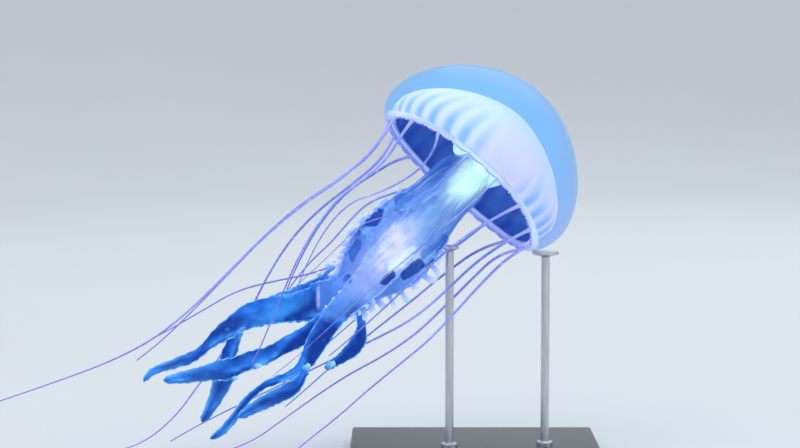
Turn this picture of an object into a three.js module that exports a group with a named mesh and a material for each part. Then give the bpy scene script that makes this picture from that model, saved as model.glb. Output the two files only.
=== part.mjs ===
// A sea-nettle jellyfish with sixteen tentacles and four frilled mouth arms, swimming up and to the
// right, as a still, life-size display model on a flat base with two rods.
// Millimetres. +Z is up, +X is to the viewer's right and +Y is away from the viewer. The origin is on
// the floor, under the middle of the base.
import * as THREE from "three";

const { Vector3, MathUtils } = THREE;

// ---- The bell, in its own frame: the mouth lies at z = 0 and the crown is up ----
const BELL_PLACE = new Vector3(-8, -8, 169);
const BELL_LEAN_BACK = 15.5; // degrees, crown away from the viewer
const BELL_LEAN_RIGHT = 41.5; // degrees, crown to the viewer's right
const JELLY_SIDES = 64;
const SUBUMBRELLA_SIDES = 48;
const LAPPETS = 32;
const LAPPET_LENGTH = 2.2;
const MARGIN_SAG = { right: 6, left: 2 }; // how much lower the margin hangs at its two ends

// A wall has its widest radius at the shoulder height; above that it is a dome, below it curls in.
const JELLY_OUTSIDE = { radius: 66.4, shoulder: 13.5, crown: 70.6, power: 1.75, lip: 57, lipHeight: 1.5 };
const JELLY_INSIDE = { radius: 60.6, shoulder: 11, crown: 52.5, power: 1.57, lip: 54.6, lipHeight: 1.9 };
const SKIN_OUTSIDE = { radius: 60, shoulder: 11, crown: 52, power: 1.57, lip: 55, lipHeight: 3.7 };
const SKIN_INSIDE = { radius: 57.8, shoulder: 11, crown: 49.8, power: 1.57, lip: 53.2, lipHeight: 4.2 };
const MUSCLE_FOLDS = 16;
const MUSCLE_FOLD_DEPTH = 0.7;

// ---- The stomach column, its gonads and the four mouth arms ----
const COLUMN_TOP = 49.3; // in the bell's frame, just under the subumbrella
const COLUMN_BEND = 8; // in the bell's frame, where it leaves the bell's axis
const COLUMN_SIDES = 16;
const COLUMN_LOBES = 4;
const COLUMN_LOBE_DEPTH = 0.09;
const GONADS = 4;
const GONAD = { fromAxis: 15.6, height: 21, across: 6.2, tall: 13, firstAngle: 20 };
const ARM_RUFFLE = 2.6; // how far an arm's edges wave out of its face
const ARM_RUFFLE_WAVE = 24; // length of one wave along the edge

// ---- Tentacles ----
const TENTACLES = 16;
const TENTACLE_ROOT = { radius: 56, height: 0.1 };
const TENTACLE_THICK = { root: 1.15, tip: 0.38 }; // radii
const TENTACLE_SIDES = 5;
const TENTACLE_STEPS = 8; // along each of its two lengths
const JOINT_GAP = 0.3; // between pieces that would touch

// Each tentacle turns as it trails away: "turns" are its headings at even steps along it, in degrees
// below level towards -X, and "away" is how steeply it runs from the viewer, in degrees, likewise.
// They go round the bell from the right-hand end, by way of the side nearest the viewer.
const TENTACLE_RUNS = [
  { long: 187, turns: [24, 44, 48, 47, 39, 39, 42, 38, 40], away: [-4, -2] },
  { long: 257, turns: [26, 36, 46, 42, 29, 27, 27, 27, 26, 28, 32], away: [10, 14, 6, 2] },
  { long: 142, turns: [26, 34, 42, 44, 42, 40], away: [6, 2] },
  { long: 177, turns: [46, 42, 41, 41, 42, 44, 42, 38], away: [8, 6] },
  { long: 133, turns: [48, 45, 40, 28, 15, 45, 45, 42, 48], away: [10, 8] },
  { long: 135, turns: [84, 55, 35, 25, 18, 44, 56, 63, 68, 66], away: [6, 2] },
  { long: 173, turns: [52, 59, 42, 36, 50, 57, 63, 67, 68, 67, 60], away: [2, -2] },
  { long: 210, turns: [62, 44, 33, 40, 46, 46, 44, 36], away: [-2, -4] },
  { long: 300, turns: [70, 38, 33, 42, 45, 45, 38, 26, 20, 19, 18], away: [-2, -2] },
  { long: 258, turns: [66, 40, 37, 47, 58, 64, 56, 53, 54, 38, 12], away: [0, -6] },
  { long: 128, turns: [12, 32, 33, 45, 53, 60, 64, 68, 66], away: [-4, -4] },
  { long: 116, turns: [25, 15, 20, 45, 50, 42, 50, 55], away: [-6, -6] },
  { long: 205, turns: [45, 30, 22, 20, 20, 10, 14, 30, 30, 28], away: [-4, -4] },
  { long: 120, turns: [40, 36, 34, 36, 40, 42], away: [0, -2] },
  { long: 170, turns: [12, 36, 40, 38, 40, 42, 40], away: [0, -2] },
  { long: 215, turns: [6, 44, 46, 44, 34, 28, 34, 36, 36, 18], away: [2, 0] },
];

// The mouth arms are ribbons: widths and thicknesses are given at even steps along them, and "face"
// is how far the ribbon's broad side is turned from the viewer, in degrees. "off" is where an arm
// starts, across the end of the column and towards the viewer.
const ARM_RUNS = [
  {
    name: "left",
    off: [10, -4.6],
    long: 196,
    turns: [44, 50, 56, 59, 46, 24, 12, 5, 15, 30, 40, 41, 20, 17, 60],
    away: [-8, 2, 3, 2],
    widths: [20, 26, 30, 26, 16, 20, 18, 15.5, 15.5, 13, 9, 5, 6.5, 4.5, 2.6],
    thick: [8, 3.4, 1.8, 1.1],
    face: [0, 5, 5, 20, 10],
  },
  {
    name: "front",
    off: [0, 12],
    long: 182,
    turns: [44, 48, 51, 50, 46, 43, 53, 60, 63, 26, 21, 40, 57, 50, 26],
    away: [-8, -2, 2, 2],
    widths: [18, 22, 22, 20, 17, 13.5, 12.5, 12, 9.5, 4.5, 4, 3.6, 3.4, 5, 2.6],
    thick: [8, 3.4, 1.8, 1.1],
    face: [0, 0, 10, -20, 10],
  },
  {
    name: "right",
    off: [-11.6, 4],
    long: 187,
    turns: [44, 62, 34, 22, 30, 43, 37, 27, 28, 19, 20, 10, 11, 9],
    away: [-8, 0, 2, 2],
    widths: [18, 20, 17, 15, 14, 13, 11, 9.5, 9, 9.5, 12.5, 10, 7, 4],
    thick: [8, 3.4, 1.8, 1.1],
    face: [0, 0, 5, -15, 10],
  },
  {
    name: "back",
    off: [0, -13],
    long: 190,
    turns: [44, 39, 38, 34, 26, 17, 14, 28, 62, 74, 76, 62, 58],
    away: [-8, 6, 4, 2],
    widths: [18, 22, 23, 20, 16, 12, 9, 7, 6.5, 8, 12, 8, 3.5],
    thick: [8, 3.4, 1.8, 1.1],
    face: [0, -5, 0, 20, 0],
  },
];
const ARM_PIECES = 3;

// Two short ribbons leave other arms, at a share of the way along them.
const ARM_BRANCHES = [
  {
    name: "right_skirt",
    from: "right",
    at: 0.325,
    off: [-8.6, 0.6],
    long: 43,
    turns: [92, 90, 68, 40, 34, 36],
    away: [-4, 0],
    widths: [5, 5, 8.5, 8, 5, 3.4],
    thick: [1.6, 1.2],
    face: [10, 10, 0],
  },
  {
    name: "front_fork",
    from: "front",
    at: 0.62,
    off: [-4.2, 1.5],
    long: 46,
    turns: [66, 34, 24, 27, 30, 36],
    away: [-4, 0],
    widths: [4, 8, 8.5, 7.5, 6, 3.5],
    thick: [1.4, 1],
    face: [10, 0, 10],
  },
];

// ---- The stand ----
const BASE = { wide: 150, deep: 110, corner: 26, thick: 9, bevel: 1.5 };
const ROD_RADIUS = 2.5;
const BELL_ROD = { x: 42, y: -7, top: 122.3 };
const BELL_CUP = { radius: 8, thick: 2, hollow: 34 };
const COLUMN_ROD = { x: -15.5, y: -13, top: 125.6 };
const COLUMN_CUP = { radius: 5.5, thick: 2, hollow: 18 };

const radians = MathUtils.degToRad;

const MATERIALS = {
  jelly: { color: 0x7fc0f2, roughness: 0.2, transparent: true, opacity: 0.55 },
  subumbrella: { color: 0xcfe0f8, roughness: 0.4 },
  column: { color: 0xa9c2f2, roughness: 0.35 },
  gonad: { color: 0xe4f6ee, roughness: 0.5 },
  arm: { color: 0x9db6ee, roughness: 0.35 },
  tentacle: { color: 0x8b9cf0, roughness: 0.35 },
  base: { color: 0x23262c, roughness: 0.4 },
  rod: { color: 0xb8bcc2, roughness: 0.3, metalness: 1 },
};

const model = new THREE.Group();
const bell = new THREE.Group();
bell.position.copy(BELL_PLACE);
bell.rotation.set(radians(-BELL_LEAN_BACK), radians(BELL_LEAN_RIGHT), 0, "YXZ");
bell.updateMatrix();
model.add(bell);

function addMesh(parent, name, geometry, material) {
  const mesh = new THREE.Mesh(geometry, new THREE.MeshStandardMaterial(MATERIALS[material]));
  mesh.name = name;
  parent.add(mesh);
  return mesh;
}

function signedVolume(points, faces) {
  const corner = (i) => points[faces[i]];
  let sum = 0;
  for (let i = 0; i < faces.length; i += 3) {
    sum += corner(i).dot(new Vector3().crossVectors(corner(i + 1), corner(i + 2)));
  }
  return sum / 6;
}

// A closed skin over a row of rings of the same number of points, with a fan to a tip at each end.
function skinOver(rings, firstTip, lastTip) {
  const sides = rings[0].length;
  const points = [...rings.flat(), firstTip, lastTip];
  const first = points.length - 2;
  const last = points.length - 1;
  const endRing = (rings.length - 1) * sides;
  const faces = [];
  for (let j = 0; j < sides; j++) {
    const next = (j + 1) % sides;
    for (let i = 0; i < rings.length - 1; i++) {
      const a = i * sides;
      const b = a + sides;
      faces.push(a + j, b + j, b + next, a + j, b + next, a + next);
    }
    faces.push(first, j, next, last, endRing + next, endRing + j);
  }
  if (signedVolume(points, faces) < 0) faces.reverse();
  return new THREE.BufferGeometry().setFromPoints(points).setIndex(faces);
}

// The value at t, from 0 to 1, of a row of values at even steps.
function along(values, t) {
  const place = MathUtils.clamp(t, 0, 1) * (values.length - 1);
  const i = Math.min(Math.floor(place), values.length - 2);
  return MathUtils.lerp(values[i], values[i + 1], place - i);
}

// ---- Bell ----
function sagAt(angle) {
  const side = Math.cos(angle);
  return (side > 0 ? MARGIN_SAG.right : MARGIN_SAG.left) * Math.abs(side) ** 3;
}

// A point of a wall: up is 1 at the crown, 0 at the shoulder and -1 at the lip.
function wallPoint(wall, up, angle) {
  let radius;
  let height;
  if (up >= 0) {
    const turn = (up * Math.PI) / 2;
    radius = wall.radius * Math.cos(turn) ** (2 / wall.power);
    height = wall.shoulder + (wall.crown - wall.shoulder) * Math.sin(turn) ** (2 / wall.power);
  } else {
    const turn = (-up * Math.PI) / 2;
    radius = wall.lip + (wall.radius - wall.lip) * Math.cos(turn);
    height = wall.shoulder - (wall.shoulder - wall.lipHeight) * Math.sin(turn);
    height -= sagAt(angle) * Math.sin(turn) ** 2;
  }
  return new Vector3(radius * Math.cos(angle), radius * Math.sin(angle), height);
}

function wallRing(wall, up, sides, shape = () => 0) {
  return Array.from({ length: sides }, (_, j) => {
    const angle = (2 * Math.PI * j) / sides;
    const point = wallPoint(wall, up, angle);
    const out = new Vector3(Math.cos(angle), Math.sin(angle), 0);
    return point.addScaledVector(out, -shape(angle));
  });
}

const OUTSIDE_STEPS = [0.92, 0.8, 0.66, 0.5, 0.34, 0.17, 0, -0.4, -0.75, -1];
const INSIDE_STEPS = [-1, -0.5, 0, 0.25, 0.5, 0.7, 0.87];
const EDGE_DROP = { down: 0.4, inward: 0.8 };

// The thin edge of the margin: 32 rounded lappets, with a notch between each two.
function lappetRing() {
  return wallRing(JELLY_OUTSIDE, -1, JELLY_SIDES).map((point, j) => {
    const angle = (2 * Math.PI * j) / JELLY_SIDES;
    const reach = LAPPET_LENGTH * Math.abs(Math.sin((angle * LAPPETS) / 2));
    const inward = new Vector3(-Math.cos(angle), -Math.sin(angle), 0);
    return point
      .addScaledVector(inward, EDGE_DROP.inward + reach * 0.3)
      .setZ(point.z - EDGE_DROP.down - reach);
  });
}

function jellyGeometry() {
  const rings = [
    ...OUTSIDE_STEPS.map((up) => wallRing(JELLY_OUTSIDE, up, JELLY_SIDES)),
    lappetRing(),
    ...INSIDE_STEPS.map((up) => wallRing(JELLY_INSIDE, up, JELLY_SIDES)),
  ];
  const top = new Vector3(0, 0, JELLY_OUTSIDE.crown);
  return skinOver(rings, top, new Vector3(0, 0, JELLY_INSIDE.crown));
}

function subumbrellaGeometry() {
  const fold = (up) => (angle) =>
    MUSCLE_FOLD_DEPTH * Math.cos(MUSCLE_FOLDS * angle) * Math.cos((up * Math.PI) / 2);
  const rings = [
    ...[...INSIDE_STEPS].reverse().map((up) => wallRing(SKIN_OUTSIDE, up, SUBUMBRELLA_SIDES)),
    ...INSIDE_STEPS.map((up) => wallRing(SKIN_INSIDE, up, SUBUMBRELLA_SIDES, fold(up))),
  ];
  const top = new Vector3(0, 0, SKIN_OUTSIDE.crown);
  return skinOver(rings, top, new Vector3(0, 0, SKIN_INSIDE.crown));
}

addMesh(bell, "bell_jelly", jellyGeometry(), "jelly");
addMesh(bell, "subumbrella", subumbrellaGeometry(), "subumbrella");

// ---- Lines that trail away ----
const TOWARDS_VIEWER = new Vector3(0, -1, 0);
const TRAIL_STEPS = 48;

function trail(start, long, turns, away) {
  const points = [start.clone()];
  for (let i = 0; i < TRAIL_STEPS; i++) {
    const t = (i + 0.5) / TRAIL_STEPS;
    const heading = radians(along(turns, t));
    const back = radians(along(away, t));
    const step = new Vector3(-Math.cos(heading), 0, -Math.sin(heading))
      .multiplyScalar(Math.cos(back))
      .setY(Math.sin(back))
      .multiplyScalar(long / TRAIL_STEPS);
    points.push(points[i].clone().add(step));
  }
  return new THREE.CatmullRomCurve3(points);
}

// The point, the direction across and the direction towards the viewer, at t along a curve.
function stationAt(curve, t, face = 0) {
  const ahead = curve.getTangentAt(t);
  const across = new Vector3().crossVectors(ahead, TOWARDS_VIEWER).normalize();
  across.applyAxisAngle(ahead, radians(face));
  const outward = new Vector3().crossVectors(across, ahead).normalize();
  return { point: curve.getPointAt(t), across, outward };
}

// The stretch of a curve that one piece of several covers, less the gap at each joint.
function pieceSpan(curve, index, count) {
  const gap = JOINT_GAP / 2 / curve.getLength();
  return [index / count + (index > 0 ? gap : 0), (index + 1) / count - (index < count - 1 ? gap : 0)];
}

function sweep(curve, span, steps, section) {
  const rings = [];
  for (let i = 0; i <= steps; i++) rings.push(section(MathUtils.lerp(span[0], span[1], i / steps)));
  return skinOver(rings, curve.getPointAt(span[0]), curve.getPointAt(span[1]));
}

// ---- Tentacles ----
function tentacleSection(curve, t) {
  const radius = MathUtils.lerp(TENTACLE_THICK.root, TENTACLE_THICK.tip, t ** 0.7);
  const { point, across, outward } = stationAt(curve, t);
  return Array.from({ length: TENTACLE_SIDES }, (_, j) => {
    const turn = (2 * Math.PI * j) / TENTACLE_SIDES;
    return point
      .clone()
      .addScaledVector(across, radius * Math.cos(turn))
      .addScaledVector(outward, radius * Math.sin(turn));
  });
}

// Root angles run backwards in the bell's frame, whose Y points away from the viewer.
function tentacleRoot(index) {
  const angle = (-2 * Math.PI * (index + 0.5)) / TENTACLES;
  const { radius, height } = TENTACLE_ROOT;
  const root = new Vector3(radius * Math.cos(angle), radius * Math.sin(angle), height - sagAt(angle));
  return root.applyMatrix4(bell.matrix);
}

TENTACLE_RUNS.forEach((run, index) => {
  const curve = trail(tentacleRoot(index), run.long, run.turns, run.away);
  ["upper", "lower"].forEach((stretch, i) => {
    const span = pieceSpan(curve, i, 2);
    const geometry = sweep(curve, span, TENTACLE_STEPS, (t) => tentacleSection(curve, t));
    addMesh(model, `tentacle_${index + 1}_${stretch}`, geometry, "tentacle");
  });
});

// ---- Stomach column ----
const inWorld = (point) => point.applyMatrix4(bell.matrix);
const columnBend = inWorld(new Vector3(0, 0, COLUMN_BEND));
const columnCurve = new THREE.CatmullRomCurve3([
  inWorld(new Vector3(0, 0, COLUMN_TOP)),
  inWorld(new Vector3(0, 0, (COLUMN_TOP + COLUMN_BEND) / 2)),
  columnBend,
  columnBend.clone().add(new Vector3(-16, -5, -15)),
  columnBend.clone().add(new Vector3(-31, -8, -30)),
]);
// Radii at even steps, from the flare at the roof, past the waist that the gonads fill, to the mouth.
const COLUMN_RADII = [12, 8.2, 7.6, 7.6, 8.2, 14.4, 16, 15.8, 16, 17.4, 19];
const COLUMN_STEPS = 12;

function columnSection(t) {
  const { point, across, outward } = stationAt(columnCurve, t);
  const radius = along(COLUMN_RADII, t);
  return Array.from({ length: COLUMN_SIDES }, (_, j) => {
    const turn = (2 * Math.PI * j) / COLUMN_SIDES;
    const lobed = radius * (1 + COLUMN_LOBE_DEPTH * Math.cos(COLUMN_LOBES * turn) * t);
    return point
      .clone()
      .addScaledVector(across, lobed * Math.cos(turn))
      .addScaledVector(outward, lobed * Math.sin(turn) * (1 - 0.2 * t));
  });
}

const columnEnd = columnCurve.getPointAt(1);
addMesh(model, "stomach_column", sweep(columnCurve, [0.03, 1], COLUMN_STEPS, columnSection), "column");

// ---- Gonads ----
function gonadGeometry() {
  const lump = new THREE.SphereGeometry(1, 8, 6).rotateX(Math.PI / 2);
  const place = lump.attributes.position;
  const point = new Vector3();
  for (let i = 0; i < place.count; i++) {
    point.fromBufferAttribute(place, i);
    const swell = 1 + 0.1 * Math.sin(5 * point.z) * Math.cos(4 * point.x);
    place.setXYZ(i, point.x * GONAD.across * swell, point.y * GONAD.across * swell, point.z * GONAD.tall);
  }
  return lump;
}

for (let i = 0; i < GONADS; i++) {
  const angle = radians(GONAD.firstAngle + (360 * i) / GONADS);
  const lump = addMesh(bell, `gonad_${i + 1}`, gonadGeometry(), "gonad");
  lump.position.set(GONAD.fromAxis * Math.cos(angle), GONAD.fromAxis * Math.sin(angle), GONAD.height);
  lump.rotation.z = angle;
}

// ---- Mouth arms ----
const ARM_EDGE = 0.45; // half the thickness at an arm's edge
const ARM_STEPS = 7; // along each piece

function armSection(curve, run, t) {
  const { point, across, outward } = stationAt(curve, t, along(run.face, t));
  const half = along(run.widths, t) / 2;
  const thick = along(run.thick, t) / 2;
  const wave = ARM_RUFFLE * Math.min(1, half / 8) * Math.min(1, t * 8);
  const phase = (2 * Math.PI * t * run.long) / ARM_RUFFLE_WAVE;
  const at = (side, out) =>
    point.clone().addScaledVector(across, side * half).addScaledVector(outward, out);
  const left = wave * Math.sin(phase);
  const right = wave * Math.sin(phase + 2);
  const edge = Math.min(ARM_EDGE, thick);
  return [
    at(-1, left - edge),
    at(-0.5, left * 0.3 - thick),
    at(0.5, right * 0.3 - thick),
    at(1, right - edge),
    at(1, right + edge),
    at(0.5, right * 0.3 + thick),
    at(-0.5, left * 0.3 + thick),
    at(-1, left + edge),
  ];
}

function addArm(name, run, start, pieces) {
  const curve = trail(start, run.long, run.turns, run.away);
  for (let i = 0; i < pieces; i++) {
    const geometry = sweep(curve, pieceSpan(curve, i, pieces), ARM_STEPS, (t) => armSection(curve, run, t));
    addMesh(model, pieces > 1 ? `${name}_${i + 1}` : name, geometry, "arm");
  }
  return curve;
}

// A start that lies beside a station of another curve, a little way past it.
function besideStation(curve, t, off) {
  const { point, across, outward } = stationAt(curve, t);
  return point
    .addScaledVector(curve.getTangentAt(t), 2 * JOINT_GAP)
    .addScaledVector(across, off[0])
    .addScaledVector(outward, off[1]);
}

const armCurves = {};
ARM_RUNS.forEach((run) => {
  const start = besideStation(columnCurve, 1, run.off);
  armCurves[run.name] = addArm(`arm_${run.name}`, run, start, ARM_PIECES);
});
ARM_BRANCHES.forEach((run) => {
  addArm(`arm_${run.name}`, run, besideStation(armCurves[run.from], run.at, run.off), 1);
});

// ---- Stand ----
function baseGeometry() {
  const { wide, deep, corner, thick, bevel } = BASE;
  const x = wide / 2 - bevel;
  const y = deep / 2 - bevel;
  const r = corner - bevel;
  const outline = new THREE.Shape();
  outline.moveTo(-x + r, -y);
  outline.lineTo(x - r, -y);
  outline.absarc(x - r, -y + r, r, -Math.PI / 2, 0);
  outline.lineTo(x, y - r);
  outline.absarc(x - r, y - r, r, 0, Math.PI / 2);
  outline.lineTo(-x + r, y);
  outline.absarc(-x + r, y - r, r, Math.PI / 2, Math.PI);
  outline.lineTo(-x, -y + r);
  outline.absarc(-x + r, -y + r, r, Math.PI, Math.PI * 1.5);
  return new THREE.ExtrudeGeometry(outline, {
    depth: thick - 2 * bevel,
    bevelThickness: bevel,
    bevelSize: bevel,
    bevelSegments: 1,
    curveSegments: 6,
  }).translate(0, 0, bevel);
}

addMesh(model, "stand_base", baseGeometry(), "base");

function addRod(name, rod, cup) {
  const foot = BASE.thick + JOINT_GAP;
  const rodLength = rod.top - foot;
  const bar = new THREE.CylinderGeometry(ROD_RADIUS, ROD_RADIUS, rodLength, 16).rotateX(Math.PI / 2);
  addMesh(model, `stand_rod_${name}`, bar, "rod").position.set(rod.x, rod.y, foot + rodLength / 2);
  const rim = cup.hollow - Math.sqrt(cup.hollow ** 2 - cup.radius ** 2);
  const profile = [
    [0, 0],
    [ROD_RADIUS + 0.5, 0],
    [cup.radius, rim + 0.4],
    [cup.radius, rim + cup.thick],
    [cup.radius * 0.6, rim * 0.36 + cup.thick],
    [0, cup.thick],
  ].map(([radius, height]) => new THREE.Vector2(radius, height));
  const dish = new THREE.LatheGeometry(profile, 16).rotateX(Math.PI / 2);
  addMesh(model, `stand_cup_${name}`, dish, "rod").position.set(rod.x, rod.y, rod.top + JOINT_GAP);
}

addRod("bell", BELL_ROD, BELL_CUP);
addRod("column", COLUMN_ROD, COLUMN_CUP);

export default model;
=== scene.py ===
# %% [markdown]
# # A jellyfish on its display stand
# A sea-nettle jellyfish swims up and to the right, with sixteen thin tentacles and four frilled
# mouth arms trailing behind: a still, life-size model on two steel rods and a flat black base. The
# solids are loaded first, as a fixed frame. Each piece of flesh is then made again as one skin.

# %% Load the frame
import math
from contextlib import contextmanager
from types import SimpleNamespace as Sizes

import bmesh
import bpy
import numpy as np
from mathutils import Matrix, Vector


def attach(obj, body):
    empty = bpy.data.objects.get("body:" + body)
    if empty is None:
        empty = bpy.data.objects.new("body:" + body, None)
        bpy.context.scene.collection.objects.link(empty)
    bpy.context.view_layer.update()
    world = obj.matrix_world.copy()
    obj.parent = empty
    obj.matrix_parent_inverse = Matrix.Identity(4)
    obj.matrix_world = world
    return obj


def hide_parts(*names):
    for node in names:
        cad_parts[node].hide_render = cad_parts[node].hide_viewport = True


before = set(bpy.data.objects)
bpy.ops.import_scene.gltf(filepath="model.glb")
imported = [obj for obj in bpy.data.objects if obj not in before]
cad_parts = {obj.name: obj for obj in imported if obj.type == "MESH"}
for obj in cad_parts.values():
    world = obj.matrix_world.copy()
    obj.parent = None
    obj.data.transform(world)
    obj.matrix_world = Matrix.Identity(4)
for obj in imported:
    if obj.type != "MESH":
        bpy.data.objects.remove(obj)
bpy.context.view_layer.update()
bpy.ops.object.select_all(action="DESELECT")

# %% [markdown]
# ## The room
# A pale floor curves up into a pale wall that goes all round, as in a round studio: a wide cylinder
# that loses its lid, with the fold between floor and wall bevelled so wide that it hardly shows.

# %% Floor and wall
MM = 0.001


def named(name):
    piece = bpy.context.object
    piece.name = piece.data.name = name
    return piece


def added(name, operator, **settings):
    """A new piece from one of Blender's own operators, with nothing else selected."""
    bpy.ops.object.select_all(action="DESELECT")
    operator(**settings)
    return named(name)


@contextmanager
def editing():
    """Edit Mode, with all selected at first, for as long as the block lasts."""
    bpy.ops.object.mode_set(mode="EDIT")
    bpy.ops.mesh.select_all(action="SELECT")
    yield
    bpy.ops.object.mode_set(mode="OBJECT")


def pick(piece, kind, wanted):
    """In Edit Mode, selects only those verts, edges or faces that are wanted."""
    bpy.ops.mesh.select_all(action="DESELECT")
    mesh = bmesh.from_edit_mesh(piece.data)
    for part in getattr(mesh, kind):
        part.select_set(wanted(part))
    bmesh.update_edit_mesh(piece.data)


ROOM = Sizes(radius=4.4, tall=4.0, fold=2.4, fold_steps=32, sides=96)
LOOKS_UP = 0.9  # the least height of a normal that points up
AT_FLOOR = 0.01  # a corner lower than this, in metres, is on the floor

room = added(
    "room",
    bpy.ops.mesh.primitive_cylinder_add,
    vertices=ROOM.sides,
    radius=ROOM.radius,
    depth=ROOM.tall,
    location=(0, 0, ROOM.tall / 2),
)
bpy.ops.object.transform_apply(location=True, rotation=True, scale=True)
with editing():
    pick(room, "faces", lambda face: face.normal.z > LOOKS_UP)
    bpy.ops.mesh.delete(type="ONLY_FACE")
    pick(room, "edges", lambda edge: all(corner.co.z < AT_FLOOR for corner in edge.verts))
    bpy.ops.mesh.bevel(offset=ROOM.fold, segments=ROOM.fold_steps, affect="EDGES")
    bpy.ops.mesh.select_all(action="SELECT")
    bpy.ops.mesh.normals_make_consistent(inside=True)
bpy.ops.object.shade_smooth()
print("room:", len(room.data.polygons), "faces")

# %% [markdown]
# ## Camera and lights
# A long lens from the front, a few degrees above level. The key light is a wide panel above and in
# front; a second panel on the right fills the shadows, a third behind lets the thin jelly glow, and
# a ceiling of light keeps floor and wall even.

# %% Camera
AIM = Vector((-45, 0, 142)) * MM
CAMERA_DISTANCE = 1.333
CAMERA_RISE = math.radians(5)
LENS = (100, 36, 0.05)  # focal length and sensor in millimetres, nearest distance in metres

toward_camera = Vector((0, -math.cos(CAMERA_RISE), math.sin(CAMERA_RISE)))
bpy.ops.object.camera_add(location=AIM + toward_camera * CAMERA_DISTANCE)
camera = bpy.context.object
camera.rotation_euler = (math.pi / 2 - CAMERA_RISE, 0, 0)
camera.data.lens, camera.data.sensor_width, camera.data.clip_start = LENS
bpy.context.scene.camera = camera
print("camera at", tuple(round(x, 3) for x in camera.location))

# %% Lights
SUBJECT = Vector((-0.04, 0, 0.13))
PANELS = [
    ("key", (-0.9, -1.3, 1.7), 1.8, 18, (1, 0.99, 0.97)),
    ("fill", (1.6, -1.0, 0.9), 1.8, 7, (0.95, 0.97, 1)),
    ("back", (0.5, 1.5, 1.6), 1.6, 12, (0.95, 0.98, 1)),
    ("ceiling", (0, 0, 3.8), 5.0, 70, (1, 1, 1)),
]
ROOM_LIGHT = {"Color": (0.93, 0.96, 1, 1), "Strength": 0.50}

for name, place, size, power, colour in PANELS:
    bpy.ops.object.light_add(type="AREA", location=place)
    lamp = bpy.context.object
    lamp.name = "light_" + name
    lamp.rotation_euler = (SUBJECT - lamp.location).to_track_quat("-Z", "Y").to_euler()
    lamp.data.size = size
    lamp.data.energy = power
    lamp.data.color = colour

world = bpy.data.worlds.new("room light")
bpy.context.scene.world = world
world.use_nodes = True
for socket, value in ROOM_LIGHT.items():
    world.node_tree.nodes["Background"].inputs[socket].default_value = value
bpy.context.scene.view_settings.view_transform = "Standard"
print("lights:", [name for name, *_ in PANELS])

# %% [markdown]
# ## Shader maths
# A pattern is a little sum over the surface, and hard to read as nodes. So a socket is wrapped in a
# class that knows Python's operators: `1 - mask` adds a Math node. A material is made by a Paint,
# whose one method `node` adds any other node.

# %% Sockets that can be added and multiplied
def does(operation):
    """A method that adds one kind of Math node."""
    return lambda sock, *others: sock.math(operation, *others)


class Sock:
    """One output of a node, for sums."""

    def __init__(self, paint, socket):
        self.paint, self.socket = paint, socket

    def math(self, operation, *others):
        return self.paint.node("Math", {"operation": operation}, dict(enumerate((self, *others))))

    __add__ = __radd__ = does("ADD")
    __mul__ = __rmul__ = does("MULTIPLY")
    __sub__, __truediv__, __pow__ = does("SUBTRACT"), does("DIVIDE"), does("POWER")
    abs, sin, sqrt, least = does("ABSOLUTE"), does("SINE"), does("SQRT"), does("MINIMUM")

    def __rsub__(self, other):
        return self * -1 + other

    def rise(self, low, high):
        """0 below low and 1 above high, smoothly."""
        settings = {"interpolation_type": "SMOOTHSTEP"}
        return self.paint.node("MapRange", settings, {0: self, 1: low, 2: high, 3: 0.0, 4: 1.0})


class Paint:
    """A material and its nodes."""

    def __init__(self, name, **constants):
        self.material = bpy.data.materials.new(name)
        self.material.use_nodes = True
        self.tree = self.material.node_tree
        self.shader = self.tree.nodes["Principled BSDF"]
        for key, value in constants.items():
            self.shader.inputs[key.replace("_", " ")].default_value = value

    def node(self, kind, settings=None, values=None, out=0):
        made = self.tree.nodes.new("ShaderNode" + kind)
        for key, value in (settings or {}).items():
            setattr(made, key, value)
        for key, value in (values or {}).items():
            self.join(made.inputs[key], value)
        return Sock(self, made.outputs[out])

    def join(self, socket, value):
        if isinstance(value, Sock):
            self.tree.links.new(value.socket, socket)
        elif socket.type == "RGBA":
            socket.default_value = (*value[:3], 1)
        else:
            socket.default_value = value

    def feed(self, name, value):
        self.join(self.shader.inputs[name], value)

    def mix(self, share, first, second):
        return self.node("Mix", {"data_type": "RGBA"}, {0: share, 6: first, 7: second}, 2)

    def over(self, colour, *layers):
        """A colour with tones laid over it in turn, each as thickly as its share says."""
        for share, tone in layers:
            colour = self.mix(share, colour, tone)
        return colour

    def parts(self, out):
        """The numbers of one output of Texture Coordinate: of 2, the UV map, or of 3, Object."""
        made = self.node("SeparateXYZ", None, {0: self.node("TexCoord", out=out)}).socket.node
        return [Sock(self, part) for part in made.outputs]

    def across(self):
        """How far round a piece and how far along it a place is, from 0 to 1."""
        return self.parts(2)[:2]

    def millimetres(self):
        return [part / MM for part in self.parts(3)]

    def place(self, turn=(0, 0, 0), scale=(1, 1, 1)):
        """Object coordinates, turned and stretched."""
        values = {0: self.node("TexCoord", out=3), 2: turn, 3: scale}
        return self.node("Mapping", {"vector_type": "POINT"}, values)

    def noise(self, scale, detail, vector=None, rough=0.5):
        """Noise from 0 to 1, over the piece's own coordinates if no others are given."""
        values = {"Vector": vector or self.place(), "Scale": scale, "Detail": detail}
        return self.node("TexNoise", None, {**values, "Roughness": rough})

    def shine(self, colour, light, warmth=(1, 1, 1)):
        """The same colour as paint and as a painted glow, as strong as light says."""
        self.feed("Base Color", colour)
        self.shader.inputs["Emission Strength"].default_value = 1
        glow = self.node("VectorMath", {"operation": "MULTIPLY"}, {0: colour, 1: warmth})
        glow = self.node("VectorMath", {"operation": "SCALE"}, {0: glow, "Scale": light})
        self.feed("Emission Color", glow)

    def bump(self, height, strength, distance):
        values = {"Height": height, "Strength": strength, "Distance": distance}
        self.feed("Normal", self.node("Bump", None, values))
        print(f"{self.material.name}: {len(self.tree.nodes)} nodes")


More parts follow.
